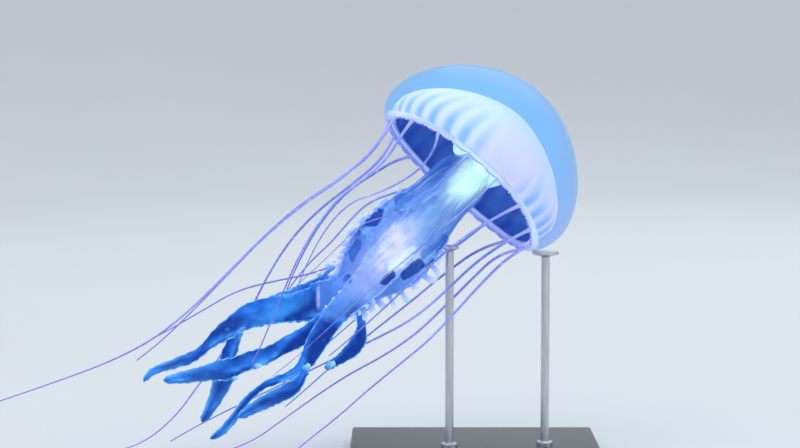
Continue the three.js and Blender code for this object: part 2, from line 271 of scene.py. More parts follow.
def moist(name, roughness, weight, depth, **constants):
    """A Paint for wet, milky stuff, which light enters to come out a little way off."""
    milky = {"Subsurface_Weight": weight, "Subsurface_Scale": depth}
    return Paint(name, Roughness=roughness, IOR=1.36, **milky, **constants)


def oval(across, up, centre, radii, slope, wobble):
    """0 at the middle of an oval and 1 on its outline, in millimetres, leaning by slope degrees."""
    turn = math.radians(slope)
    right, high = across - centre[0], up - centre[1]
    longways = (right * math.cos(turn) + high * math.sin(turn)) / radii[0]
    sideways = (high * math.cos(turn) - right * math.sin(turn)) / radii[1]
    return (longways * longways + sideways * sideways).sqrt() + wobble


print("shader maths ready")

# %% [markdown]
# ## Skins from rolled grids
# Flesh is told as rows of rings: round a tentacle, round the bell's wall or round an arm's flat
# ribbon. So each skin starts as a flat grid whose corners are laid on those rings, and merging the
# doubled corners closes its seam and ends. Its UV map tells the paint how far round and along it is.

# %% Roll a grid into a closed skin
DOUBLES = 2e-6  # corners nearer than this, in metres, are merged


def round_turn(corners):
    """The angle of each corner of a ring."""
    return np.linspace(0, 2 * math.pi, corners, endpoint=False)


def skin(name, rings):
    """rings: (rows, corners round, 3) in millimetres. The first and last rows are drawn to a point."""
    ends = [np.broadcast_to(ring.mean(axis=0), ring.shape)[None] for ring in (rings[0], rings[-1])]
    rows = np.concatenate([ends[0], rings, ends[1]])
    rows = np.concatenate([rows, rows[:, :1]], axis=1)
    cells = {"x_subdivisions": rows.shape[1] - 1, "y_subdivisions": rows.shape[0] - 1}
    piece = added(name, bpy.ops.mesh.primitive_grid_add, **cells)
    piece.data.vertices.foreach_set("co", (rows * MM).ravel())
    with editing():
        bpy.ops.mesh.remove_doubles(threshold=DOUBLES)
        if bmesh.from_edit_mesh(piece.data).calc_volume(signed=True) < 0:
            bpy.ops.mesh.flip_normals()
    bpy.ops.object.shade_smooth()
    return piece


def join(name, pieces):
    bpy.ops.object.select_all(action="DESELECT")
    for piece in pieces:
        piece.select_set(True)
    bpy.context.view_layer.objects.active = pieces[0]
    bpy.ops.object.join()
    return named(name)


def dress(piece, paint, slot, *nodes):
    """Gives a finished piece its paint and its body, and hides the solids that it stands for; slot is
    not used.
    """
    piece.data.materials.clear()
    piece.data.materials.append(paint.material)
    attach(piece, "root")
    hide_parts(*nodes)
    print(f"{piece.name}: {sum(len(p.vertices) - 2 for p in piece.data.polygons)} triangles")


# %% [markdown]
# ## Lines to follow
# Tentacles and arms are swept along smooth lines. A line is told as a row of headings, as a thing in
# a current turns while it trails away. It is read by its share of the whole length, and at each
# place it gives three directions: ahead, across and outward to the viewer.

# %% Smooth lines and their stations
TOWARD_VIEWER = np.array([0.0, -1.0, 0.0])


def unit(rows):
    return rows / np.linalg.norm(rows, axis=-1, keepdims=True)


class Line:
    """A smooth line through points, read by its share of the whole length."""

    def __init__(self, points, fine=12):
        points = np.asarray(points, float)
        row = np.vstack([2 * points[0] - points[1], points, 2 * points[-1] - points[-2]])
        part = np.linspace(0, 1, fine, endpoint=False)[:, None]
        pieces = []
        for p0, p1, p2, p3 in zip(row, row[1:], row[2:], row[3:]):
            d0, d1, d2 = (np.sqrt(np.linalg.norm(b - a)) for a, b in ((p0, p1), (p1, p2), (p2, p3)))
            m1 = d1 * ((p1 - p0) / d0 - (p2 - p0) / (d0 + d1) + (p2 - p1) / d1)
            m2 = d1 * ((p2 - p1) / d1 - (p3 - p1) / (d1 + d2) + (p3 - p2) / d2)
            bend = 3 * (p2 - p1) - 2 * m1 - m2
            pieces.append(p1 + part * m1 + part**2 * bend + part**3 * (2 * (p1 - p2) + m1 + m2))
        self.points = np.vstack([*pieces, points[-1:]])
        steps = np.linalg.norm(np.diff(self.points, axis=0), axis=1)
        self.long = steps.sum()
        self.share = np.concatenate([[0], np.cumsum(steps)]) / self.long
        self.ahead = unit(np.gradient(self.points, axis=0))

    def read(self, rows, t):
        return np.stack([np.interp(t, self.share, rows[:, i]) for i in range(3)], axis=-1)

    def stations(self, t, face=0.0):
        """Points and the directions ahead, across and outward, turned by face degrees."""
        ahead = unit(self.read(self.ahead, t))
        level = unit(np.cross(ahead, TOWARD_VIEWER))
        turn = np.radians(face)[..., None] if np.ndim(face) else math.radians(face)
        across = level * np.cos(turn) + np.cross(ahead, level) * np.sin(turn)
        return self.read(self.points, t), ahead, across, np.cross(across, ahead)

    def station(self, t):
        """The same for a single place."""
        return [part[0] for part in self.stations(np.array([t]))]


def row_at(values, t):
    """A row of values at even steps, read at t."""
    return np.interp(t, np.linspace(0, 1, len(values)), values)


def eased(values, t, window=0.03):
    """The same with the row's corners rounded."""
    return np.mean([row_at(values, t + d) for d in np.linspace(-window, window, 7)], axis=0)


TRAIL_STEPS = 48


def trail(start, long, turns, away):
    """Points of a line that leaves start: turns are its slopes below level, away its slopes back."""
    t = (np.arange(TRAIL_STEPS) + 0.5) / TRAIL_STEPS
    heading, back = np.radians(row_at(turns, t)), np.radians(row_at(away, t))
    level = np.cos(back)
    step = np.stack([-np.cos(heading) * level, np.sin(back), -np.sin(heading) * level], 1)
    return np.vstack([start, start + np.cumsum(step, axis=0) * long / TRAIL_STEPS])


print("lines ready")

# %% [markdown]
# ## The bell's form
# The bell is two thin walls with clear jelly between them. A wall is a dome above its shoulder, its
# widest place, and curls in below it to the lip. The margin sags at both ends, as it does in the
# slow part of a swimming stroke. All is told in the bell's own frame and then leaned over.

# %% The bell's walls
BELL_PLACE = Vector((-8, -8, 169))
BELL_LEAN = (math.radians(41.5), math.radians(-15.5))
JELLY_OUTSIDE = Sizes(radius=66.4, shoulder=13.5, crown=70.6, power=1.75, lip=57, low=1.5)
JELLY_INSIDE = Sizes(radius=60.6, shoulder=11, crown=52.5, power=1.57, lip=54.6, low=1.9)
SKIN_OUTSIDE = Sizes(radius=60, shoulder=11, crown=52, power=1.57, lip=55, low=3.7)
SKIN_INSIDE = Sizes(radius=57.8, shoulder=11, crown=49.8, power=1.57, lip=53.2, low=4.2)
MARGIN_SAG = Sizes(right=6, left=2)
LAPPETS = 32
LAPPET_LENGTH = 1.3

bell_frame = (
    Matrix.Translation(BELL_PLACE)
    @ Matrix.Rotation(BELL_LEAN[0], 4, "Y")
    @ Matrix.Rotation(BELL_LEAN[1], 4, "X")
)
TURN = np.array(bell_frame.to_3x3())
SHIFT = np.array(bell_frame.translation)


def leaned(rows):
    """Places in the bell's own frame, moved to where the bell is."""
    return rows @ TURN.T + SHIFT


BELL_AXIS = leaned(np.array([[0, 0, 1.0]]))[0] - SHIFT


def sag_at(angle):
    side = np.cos(angle)
    return np.where(side > 0, MARGIN_SAG.right, MARGIN_SAG.left) * np.abs(side) ** 3


def wall(shape, up, angle):
    """Rows of points: up is 1 at the crown, 0 at the shoulder and -1 at the lip."""
    up, angle = np.meshgrid(up, angle, indexing="ij")
    turn = np.abs(up) * math.pi / 2
    over = up >= 0
    power = 2 / shape.power
    rise = (shape.crown - shape.shoulder) * np.sin(turn) ** power
    fall = (shape.shoulder - shape.low) * np.sin(turn) + sag_at(angle) * np.sin(turn) ** 2
    dome = shape.radius * np.clip(np.cos(turn), 0, 1) ** power
    curl = shape.lip + (shape.radius - shape.lip) * np.cos(turn)
    radius = np.where(over, dome, curl)
    height = shape.shoulder + np.where(over, rise, -fall)
    return np.stack([radius * np.cos(angle), radius * np.sin(angle), height], axis=-1)


def pushed_in(rows, angle, depth):
    out = np.stack([np.cos(angle), np.sin(angle), 0 * angle], axis=-1)
    return rows - out[None] * depth[..., None]


print("bell frame set, leaning", [round(math.degrees(a), 1) for a in BELL_LEAN])

# %% [markdown]
# ## Clear jelly
# Jelly lets light through and tints it blue: beside the dome the eye looks through two walls of it,
# so there the blue is deeper. The paint is part see-through and faintly cloudy, with a wet gloss.
# Its sheen brightens the very edge, and it has a little painted glow, more on its far half, which
# keeps the band above the dome blue. Its second UV number runs from the crown over the lip (0.6)
# inside.

# %% Jelly paint
JELLY = Sizes(
    deep=(0.002, 0.29, 0.72),
    light=(0.005, 0.37, 0.82),
    low_right=(0.002, 0.19, 0.70),
    speckle=(0.12, 0.52, 0.90),
    near_edge=(0.66, 0.80, 0.95),
    far_edge=(0.22, 0.25, 0.74),
)
THIN, MARGIN_ADDS, INSIDE_LOSES = 0.36, 0.40, 0.60  # how much the jelly hides, and what alters it
FAR_GLOW = 0.55

jelly = Paint(
    "clear blue jelly",
    Roughness=0.32,
    IOR=1.34,
    Sheen_Weight=0.5,
    Sheen_Roughness=0.28,
    Sheen_Tint=(0.18, 0.66, 1, 1),
)
_, along = jelly.across()
x, y, z = jelly.millimetres()
cloud, speckle = jelly.noise(16, 3), jelly.noise(240, 3)
inner = along.rise(0.61, 0.625)
brink = (1 - (along - 0.62).abs().rise(0.04, 0.06)) * y.rise(0, 12)
margin = (along.rise(0.474, 0.500) * (1 - along.rise(0.602, 0.617)) + brink).least(1)
turned_in = (along.rise(0.540, 0.555) + y.rise(-25, 10)).least(1)
tint = jelly.over(
    jelly.mix(cloud.rise(0.35, 0.7), JELLY.deep, JELLY.light),
    ((x - z * 0.8).rise(-110, -60) * 0.7, JELLY.low_right),
    (speckle.rise(0.50, 0.75) * 0.10, JELLY.speckle),
    (margin * 0.95, jelly.mix(turned_in, JELLY.near_edge, JELLY.far_edge)),
)
# Painted glow: a little everywhere, more at the margin and on the far half.
far_side = (y + (cloud - 0.5) * 24).rise(-8, 36)
jelly.shine(tint, 0.24 + margin * 0.1 + far_side * (1 - margin) * FAR_GLOW)
hides = THIN + cloud * 0.03 + margin * MARGIN_ADDS
jelly.feed("Alpha", hides * (1 - inner * INSIDE_LOSES * (1 - brink)))
jelly.bump(jelly.noise(120, 3), 0.10, 0.0005)

# %% The jelly's skin
LAPPET_NECK = 0.35
LIP = Sizes(out=0.8, out_more=0.3, down=0.4, rows=9)  # how far a lappet stands off its wall


def jelly_rings():
    angle = round_turn(LAPPETS * 8)
    scallop = np.abs(np.sin(angle * LAPPETS / 2))
    outer_up = np.concatenate([np.linspace(0.97, 0, 30, endpoint=False), np.linspace(0, -1, 20)])
    inner_up = np.concatenate([np.linspace(-1, 0, 14), np.linspace(0.05, 0.96, 22)])
    outside = wall(JELLY_OUTSIDE, outer_up, angle)
    furrow = np.clip(-outer_up, 0, 1)[:, None] ** 2 * (1 - scallop)[None] ** 2
    outside = pushed_in(outside, angle, LAPPET_NECK * furrow)
    inside = wall(JELLY_INSIDE, inner_up, angle)
    reach = LAPPET_LENGTH * scallop**0.8
    edge = pushed_in(outside[-1:], angle, (LIP.out + LIP.out_more * reach)[None])
    edge[..., 2] -= LIP.down + reach
    bend = 2 * edge - (outside[-1:] + inside[:1]) / 2
    t = np.linspace(0, 1, LIP.rows)[1:-1, None, None]
    lip = (1 - t) ** 2 * outside[-1:] + 2 * t * (1 - t) * bend + t**2 * inside[:1]
    return np.concatenate([outside, lip, inside])


bell = skin("jelly_bell", leaned(jelly_rings()))
dress(bell, jelly, "jelly", "bell_jelly")

# %% [markdown]
# ## The pale dome inside
# Under the jelly lies the subumbrella, the muscle that swims. It is milky, minty on the left, lilac
# in the middle and sky blue on the right. Near the margin its wall is folded, which shows as broad
# blue stripes with thin pale ridges between, fading out up the dome. It has a warm painted glow.
# Inside, away from the light, it is painted deep blue as shade, with less painted glow. One skin
# carries both paints, told apart by how far along its rows a place is.

# %% Dome paint
FOLDS = 16

dome = moist("milky muscle", 0.42, 0.2, 0.008, Subsurface_Radius=(0.6, 0.8, 1))
around, along = dome.across()
x, y, z = dome.millimetres()
ripple, fine = dome.noise(13, 2), dome.noise(75, 3)
height = 1 - along / 0.5
wander = (ripple - 0.5) * 4.0 + (fine - 0.5) * 0.9 + height * 1.6
turn = around * (2 * FOLDS * 2 * math.pi) + wander
stripe = (turn.sin() * 0.5 + 0.5) ** 0.75
ridge = ((turn + 0.9).sin() * -0.5 + 0.5) ** 7
low = 1 - (height + (ripple - 0.5) * 0.9).rise(0.16, 0.58)
plain = 1 - (around - 0.775).abs().rise(0.030, 0.065)
print("stripes:", len(dome.tree.nodes), "nodes")

# %% Dome colours
MINT, LILAC, SKY = (1.0, 1.0, 0.76), (0.99, 0.82, 0.86), (0.68, 0.82, 0.94)
RIM_NEAR, RIM_FAR = (0.84, 0.86, 0.97), (0.17, 0.20, 0.64)
PATCHES = (
    ((4, 208), (24, 14), MINT),
    ((24, 186), (22, 24), LILAC),
    ((50, 150), (14, 12), MINT),
)  # each with its centre, radii and tone
WARMTH = (1.36, 0.99, 0.74)  # what the dome's paint is multiplied by for its glow


def patch(centre, radii):
    return 1 - oval(x, z, centre, radii, -45, (ripple - 0.5) * 1.2).rise(0.3, 1.1)


pale = dome.over(
    dome.mix((x + z * 0.35).rise(52, 92), MINT, LILAC),
    ((x - z * 0.45).rise(-62, -25) * 0.65, SKY),
    *((patch(centre, radii) * 0.7, tone) for centre, radii, tone in PATCHES),
    (ripple.rise(0.50, 0.66) * 0.6, (0.94, 0.96, 0.98)),
    (height.rise(0.42, 0.90) * 0.6, (0.46, 0.78, 0.92)),
    (stripe * low * (1 - plain * 0.85) * 0.8, (0.20, 0.48, 0.88)),
    (ridge * low * (1 - plain) * 0.8, (0.95, 0.98, 0.99)),
)
# Painted shade for the inside, away from the light: deep blue, faintly striped.
deep = dome.over(
    dome.mix(stripe * 0.6, (0.025, 0.10, 0.46), (0.05, 0.16, 0.58)),
    (fine.rise(0.5, 0.7) * 0.3, (0.08, 0.22, 0.66)),
)
rim = 1 - (along - 0.5).abs().rise(0.012, 0.030)
rim_tone = dome.mix((along.rise(0.498, 0.506) + y.rise(-20, 10)).least(1), RIM_NEAR, RIM_FAR)
within = along.rise(0.502, 0.515)
# Warm painted glow, weaker on the inside, where the painted shade lies.
dome.shine(dome.over(pale, (within, deep), (rim * 0.9, rim_tone)), 0.54 - within * 0.29, WARMTH)
dome.bump(stripe * 0.5 + fine * 0.4, 0.35, 0.0010)

# %% The dome's skin
GROOVE, FOLD = 0.9, 0.7  # how deep the outside is grooved and how far the inside waves


def dome_rings():
    angle = round_turn(FOLDS * 20)
    down = np.concatenate([np.linspace(0.97, 0, 26, endpoint=False), np.linspace(0, -1, 14)])
    groove = 0.5 + 0.5 * np.cos(2 * FOLDS * angle + 0.6 * np.sin(5 * angle))
    low = np.clip(1 - np.abs(down + 0.05) / 0.6, 0, 1) ** 1.2
    grooved = low[:, None] * groove[None] * GROOVE
    outside = pushed_in(wall(SKIN_OUTSIDE, down, angle), angle, grooved)
    fold = FOLD * np.cos(FOLDS * angle)[None] * np.cos(np.abs(down) * math.pi / 2)[:, None]
    inside = pushed_in(wall(SKIN_INSIDE, down, angle), angle, fold)[::-1]
    return np.concatenate([outside, inside])


muscle = skin("pale_dome", leaned(dome_rings()))
dress(muscle, dome, "subumbrella", "subumbrella")

# %% [markdown]
# ## Sense knobs
# Between the lappets, halfway from one tentacle to the next, sit sixteen tiny sense organs. Each is
# a small ball whose lowest corner is pulled further down, and takes the corners near it along.

# %% Pale knob paint
knob = moist("pale knobs", 0.35, 0.3, 0.004)
speck = knob.noise(700, 3)
knob.shine(knob.mix(speck.rise(0.35, 0.65), (0.45, 0.52, 0.88), (0.62, 0.72, 0.93)), 0.2)
knob.bump(speck, 0.3, 0.0004)

# %% Sixteen sense knobs
TENTACLES = 16
KNOB = Sizes(radius=0.55, from_axis=56.2, height=0.9, sides=12, rings=8, pull=1.4)


def at_margin(angle, radius, height):
    """A place near the margin, at an angle round the bell's axis."""
    up = height - float(sag_at(angle))
    return leaned(np.array([radius * math.cos(angle), radius * math.sin(angle), up]))


def sense_knob(index):
    piece = added(
        f"sense_{index}",
        bpy.ops.mesh.primitive_uv_sphere_add,
        segments=KNOB.sides,
        ring_count=KNOB.rings,
        radius=KNOB.radius * MM,
        location=at_margin(2 * math.pi * index / TENTACLES, KNOB.from_axis, KNOB.height) * MM,
    )
    bpy.ops.object.transform_apply(location=True, rotation=True, scale=True)
    ahead = Vector(BELL_AXIS) * -1
    with editing():
        corners = bmesh.from_edit_mesh(piece.data).verts
        tip = max(corners, key=lambda corner: corner.co @ ahead).index
        pick(piece, "verts", lambda corner: corner.index == tip)
        bpy.ops.transform.translate(
            value=ahead * KNOB.radius * MM,
            use_proportional_edit=True,
            proportional_edit_falloff="SMOOTH",
            proportional_size=KNOB.pull * KNOB.radius * MM,
        )
    bpy.ops.object.shade_smooth()
    return piece


sense = join("sense_knobs", [sense_knob(index) for index in range(TENTACLES)])
dress(sense, knob, "subumbrella")

# %% [markdown]
# ## Tentacles
# Sixteen threads, each from its own notch in the margin, taper from about two millimetres to less
# than one. Each is widest where it leaves the bell, and beaded with stinging cells, so its rings are
# set close enough for the beads. The sixteen skins are joined in one piece.

# %% Tentacle paint
thread = moist("lilac tentacle", 0.35, 0.2, 0.003)
_, along = thread.across()
grain, drift = thread.noise(380, 3), thread.noise(22, 2)
lilac = thread.over(
    thread.mix(drift.rise(0.35, 0.65), (0.13, 0.20, 0.66), (0.26, 0.33, 0.84)),
    (grain.rise(0.5, 0.75) * 0.6, (0.48, 0.58, 0.93)),
    (along.rise(0.35, 0.9) * 0.7, (0.09, 0.15, 0.58)),
    ((1 - along.rise(0.0, 0.10)) * 0.8, (0.46, 0.52, 0.90)),
)
thread.shine(lilac, 0.22)
thread.bump(grain, 0.5, 0.0005)

# %% Sixteen tentacles
TENTACLE = Sizes(from_axis=56, height=0.1, root=0.95, tip=0.34, rings_every=0.55, sides=10)
FLARE = Sizes(radius=0.45, long=2.0)  # how a thread widens where it leaves the margin
ROOT_SUNK = (1.6, 1.1, 0.55)  # how far up into the margin a thread's first rings stand
TIP_ROUND = 1.2  # the length over which a thread's end closes
SLIM = {3: 0.55, 4: 0.6, 5: 0.8}  # the threads that hang before the column are the finest
BEAD = Sizes(every=1.7, swell=0.10)
# How long each thread is, and how it slopes down and away from the viewer as it trails.
TENTACLE_RUNS = [
    (187, [24, 44, 48, 47, 39, 39, 42, 38, 40], [-4, -2]),
    (257, [26, 36, 46, 42, 29, 27, 27, 27, 26, 28, 32], [10, 14, 6, 2]),
    (142, [26, 34, 42, 44, 42, 40], [6, 2]),
    (177, [46, 42, 41, 41, 42, 44, 42, 38], [8, 6]),
    (133, [48, 45, 40, 28, 15, 45, 45, 42, 48], [10, 8]),
    (135, [84, 55, 35, 25, 18, 44, 56, 63, 68, 66], [6, 2]),
    (173, [52, 59, 42, 36, 50, 57, 63, 67, 68, 67, 60], [2, -2]),
    (210, [62, 44, 33, 40, 46, 46, 44, 36], [-2, -4]),
    (300, [70, 38, 33, 42, 45, 45, 38, 26, 20, 19, 18], [-2, -2]),
    (258, [66, 40, 37, 47, 58, 64, 56, 53, 54, 38, 12], [0, -6]),
    (128, [12, 32, 33, 45, 53, 60, 64, 68, 66], [-4, -4]),
    (116, [25, 15, 20, 45, 50, 42, 50, 55], [-6, -6]),
    (205, [45, 30, 22, 20, 20, 10, 14, 30, 30, 28], [-4, -4]),
    (120, [40, 36, 34, 36, 40, 42], [0, -2]),
    (170, [12, 36, 40, 38, 40, 42, 40], [0, -2]),
    (215, [6, 44, 46, 44, 34, 28, 34, 36, 36, 18], [2, 0]),
]


def tentacle(index, long, turns, away):
    angle = -2 * math.pi * (index + 0.5) / TENTACLES
    root = at_margin(angle, TENTACLE.from_axis, TENTACLE.height)
    line = Line(trail(root, long, turns, away))
    t = np.linspace(0, 1, int(long / TENTACLE.rings_every))
    along = t * long
    beads = BEAD.swell * np.sin(2 * math.pi * along / BEAD.every)
    beads = beads * (0.6 + 0.4 * np.sin(along * 0.31 + index))
    radius = TENTACLE.root + (TENTACLE.tip - TENTACLE.root) * t**0.7
    radius = radius * (1 + beads) + FLARE.radius * np.exp(-along / FLARE.long)
    radius = radius * SLIM.get(index, 1) * np.clip((long - along) / TIP_ROUND, 0.15, 1) ** 0.5
    point, _, across, outward = line.stations(t)
    turn = round_turn(TENTACLE.sides)[:, None]
    ring = across[:, None] * np.cos(turn) + outward[:, None] * np.sin(turn)
    tube = point[:, None] + ring * radius[:, None, None]
    sunk = tube[:1] + np.array(ROOT_SUNK)[:, None, None] * BELL_AXIS
    return skin(f"tentacle_{index}", np.concatenate([sunk, tube]))


threads = join("tentacles", [tentacle(index, *run) for index, run in enumerate(TENTACLE_RUNS)])
solids = [f"tentacle_{n + 1}_{stretch}" for n in range(TENTACLES) for stretch in ("upper", "lower")]
dress(threads, thread, "tentacle", *solids)

# %% [markdown]
# ## Flesh of the mouth
# The stomach column and the four mouth arms are one flesh, so their paints share one map of colour,
# laid out in millimetres over the whole body, and no seam shows between two pieces. Its ground is
# streaks: a noise turned to lie along the body, and then stretched by a Vector Math node.

# %% The ground of streaks
FLESH_SLOPE = 44
FLESH = Sizes(
    deep=(0.004, 0.045, 0.38),
    shade=(0.035, 0.14, 0.56),
    middle=(0.12, 0.30, 0.78),
    light=(0.30, 0.53, 0.88),
    lilac=(0.32, 0.39, 0.78),
    milk=(0.66, 0.67, 0.86),
    veil=(0.42, 0.50, 0.84),
    cream=(0.80, 0.92, 0.90),
    mint=(0.62, 0.93, 0.78),
    ribbon=(0.004, 0.035, 0.27),
    ribbon_light=(0.016, 0.16, 0.64),
    azure=(0.05, 0.36, 0.92),
    cyan=(0.20, 0.62, 0.95),
)
STREAKS = (7, 110, 110)  # how closely the noise follows itself along the body and across it


def flesh(name):
    dull_blue = {"Subsurface_Radius": (0.5, 0.75, 1), "Specular_IOR_Level": 0.2}
    return moist(name, 0.34, 0.2, 0.005, **dull_blue)


def streaks(paint):
    """Streaks down the body, and the thinner of the two noises they are made from."""
    leaning = paint.place(turn=(0, math.radians(FLESH_SLOPE), 0))
    lengthwise = paint.node("VectorMath", {"operation": "MULTIPLY"}, {0: leaning, 1: STREAKS})
    broad, thin = paint.noise(1.0, 2, lengthwise), paint.noise(3.1, 2, lengthwise)
    colour = paint.mix(broad.rise(0.32, 0.66), FLESH.shade, FLESH.middle)
    return paint.mix(thin.rise(0.46, 0.70) * 0.55, colour, FLESH.light), thin


def up_body(paint):
    """How far up the leaning body a place is, in millimetres."""
    x, _, z = paint.millimetres()
    slope = math.radians(FLESH_SLOPE)
    return x * math.cos(slope) + z * math.sin(slope)


print("flesh leans", FLESH_SLOPE, "degrees")

# %% [markdown]
# On that ground lie soft ovals: a lighter middle, the mint of the gonads at its top with a painted
# glow, the milky core where the four arms begin and the lilac web below it. Core and free arms get
# more painted glow too. In a few places, the windows, the flesh is only a thin film and looks deep
# blue, with less painted glow, and most are ringed by a painted highlight line. Noise moves every
# outline.

# %% Glow, core, web and windows
# Each region is an oval: its centre, its half lengths and how many degrees it leans.
MIDDLE = ((-30, 143), (62, 13), 44)
MASS = ((-54, 124), (36, 24), 50)
MINT_GLOW = ((-1, 173), (28, 15), 47)
MILKY_CORE = ((-48, 131), (23, 13.5), 52)
CREAM = ((-41, 125), (11, 5.5), 30)
LILAC_WEB = ((-66, 112), (22, 12), 46)
CUFF = ((-83, 101), (16, 13), 20)
CUFF_END = -94.5  # the turned-back cuff of the left arm stops at this upright line
# A painted highlight: a broad azure gleam on the free arms.
ARM_GLEAM = ((-121, 89), (22, 7), 34)
ARMS_BELOW = (2, 34)  # from how far up the body the arms turn from pale to deep blue
WINDOWS = [
    (((-62, 147), (8.5, 6.0), 80), 0.92, 0.35),
    (((-26, 118), (7, 5.6), 50), 0.9, 0.7),
    (((-38, 116.5), (9, 4.5), 35), 0.85, 0.3),
    (((-51, 112), (5.0, 3.2), 38), 0.92, 0.3),
    (((-77, 111), (5.2, 3.2), 35), 0.95, 0.2),
    (((-72, 129), (12, 3.2), 76), 0.6, 0.0),
]  # each with the depth of its blue and the brightness of its border


def flesh_colour(paint, under=None):
    """The body's map of colour laid over under, its thin streaks for a bump, and its painted glow."""
    x, _, z = paint.millimetres()
    patch, rough, torn = paint.noise(42, 2), paint.noise(210, 2), paint.noise(115, 1)
    wobble = (patch - 0.5) * 0.9 + (rough - 0.5) * 0.5
    below = 1 - (up_body(paint) + wobble * 12).rise(*ARMS_BELOW)

    def spot(region, near, far, stray=wobble):
        return 1 - oval(x, z, *region, stray).rise(near, far)

    colour, thin = streaks(paint)
    mottled = paint.mix(patch.rise(0.35, 0.65), FLESH.middle, FLESH.light)
    colour = paint.over(
        colour,
        (spot(MIDDLE, 0.2, 1.1) * 0.55, FLESH.light),
        (spot(MASS, 0.6, 1.15) * 0.7, mottled),
    )
    if under:
        colour = under(colour, rough, below)
    core = spot(MILKY_CORE, 0.25, 1.15)
    glow = spot(MINT_GLOW, 0.30, 1.05, (thin - 0.5) * 0.6)
    milky = paint.mix((torn * 0.5 + thin * 0.5).rise(0.42, 0.56), FLESH.veil, FLESH.milk)
    colour = paint.over(
        colour,
        (spot(LILAC_WEB, 0.3, 1.15) * 0.7, FLESH.lilac),
        (core * 0.9, milky),
        (spot(CREAM, 0.55, 1.08, (torn - 0.5) * 2.0) * 0.7, FLESH.cream),
        (glow * 0.97, FLESH.mint),
    )
    # Painted glow: a little everywhere, more on the milky core, the mint glow and the free arms below.
    light = 0.22 + core * 0.14 + glow * 0.45 + below * 0.14
    if under:
        for window, depth, border in WINDOWS:
            far = oval(x, z, *window, (rough - 0.5) * 0.7 + (torn - 0.5) * 1.9)
            film = (1 - far.rise(0.70, 0.95)) * depth
            colour, light = paint.mix(film, colour, FLESH.deep), light * (1 - film * 0.3)
            # Most windows are ringed by a painted highlight line in bright cyan.
            if border:
                rim = (1 - (far - 1.08).abs().rise(0.02, 0.15)) * border
                colour = paint.mix(rim, colour, FLESH.cyan)
        cuff, end = spot(CUFF, 0.6, 1.1), x - CUFF_END + (rough - 0.5) * 2.4
        colour = paint.over(
            colour,
            (cuff * end.rise(-0.4, 0.4) * 0.6, FLESH.middle),
            (cuff * (1 - (end - 0.6).abs().rise(0.3, 1.6)) * 0.6, FLESH.milk),
        )
    return colour, thin, light


print("windows:", len(WINDOWS))

# %% Column paint
column_paint = flesh("streaked column")
colour, thin, light = flesh_colour(column_paint)
column_paint.shine(colour, light)
column_paint.bump(thin, 0.5, 0.0015)

# %% [markdown]
# ## Stomach column
# It hangs from the roof of the bell, narrow where the gonads sit round it and wider below, with four
# soft corners. Fine furrows run down it. Below its end it closes in among the arms' roots.

# %% The column's skin
COLUMN_TOP = 49.3
COLUMN_BEND = 8
COLUMN_RADII = [12, 8.2, 7.6, 7.6, 8.2, 14.4, 16, 15.8, 16, 17.4, 19]
COLUMN_ROUNDED = 0.05  # the share of the column over which the row of radii is rounded off
COLUMN_GRID = Sizes(rows=110, corners=120)
LOBES = Sizes(count=4, swell=0.09, flatter=0.2)
FURROWS = Sizes(count=22, deep=0.28)
COLUMN_CLOSE = [(1.5, 0.95), (3, 0.84), (4.4, 0.66), (5.4, 0.42), (5.9, 0.18)]


def on_axis(height):
    return leaned(np.array([0, 0, height]))


bend = on_axis(COLUMN_BEND)
column_line = Line(
    [
        on_axis(COLUMN_TOP),
        on_axis((COLUMN_TOP + COLUMN_BEND) / 2),
        bend,
        bend + (-16, -5, -15),
        bend + (-31, -8, -30),
    ],
    fine=40,
)


def column_rings(t):
    """The column's middle line, and how far each corner of its rings stands off it."""
    point, _, across, outward = column_line.stations(t)
    turn, share = round_turn(COLUMN_GRID.corners)[None], t[:, None]
    lobed = 1 + LOBES.swell * np.cos(LOBES.count * turn) * share
    lobed = eased(COLUMN_RADII, t, COLUMN_ROUNDED)[:, None] * lobed
    furrow = np.sin(FURROWS.count * turn + 1.5 * np.sin(5 * share)) * np.clip(share * 2, 0, 1)
    lobed = lobed + FURROWS.deep * furrow
    flat = lobed * (1 - LOBES.flatter * share)
    offset = across[:, None] * (lobed * np.cos(turn))[..., None]
    return point, offset + outward[:, None] * (flat * np.sin(turn))[..., None]


point, offset = column_rings(np.linspace(0.01, 1, COLUMN_GRID.rows))
end_ahead = column_line.ahead[-1]
closing = [point[-1] + end_ahead * down + offset[-1] * share for down, share in COLUMN_CLOSE]
column = skin("column_flesh", np.concatenate([point[:, None] + offset, np.array(closing)]))
dress(column, column_paint, "column", "stomach_column")

# %% [markdown]
# ## Gonads
# Four milky lumps ring the column under the roof. Each is a ball, drawn out tall, and its surface is
# puckered into folds by a wave that runs both ways round it.

# %% Gonad paint
milk = moist("milky mint", 0.4, 0.4, 0.006)
curd = milk.noise(160, 3)
# Milky mint, with a strong painted glow.
milk.shine(milk.mix(curd.rise(0.35, 0.7), (0.50, 0.88, 0.88), (0.68, 0.97, 0.88)), 0.55)
milk.bump(curd, 0.3, 0.0006)

# %% Four gonads
GONADS = 4
GONAD = Sizes(from_axis=14.5, height=21, across=6.2, tall=13, first_angle=20)


def ball_grid(pole, rows, corners):
    """The angles down from a pole and round the axis, at each corner of a ball."""
    return np.meshgrid(np.linspace(pole, math.pi - pole, rows), round_turn(corners), indexing="ij")


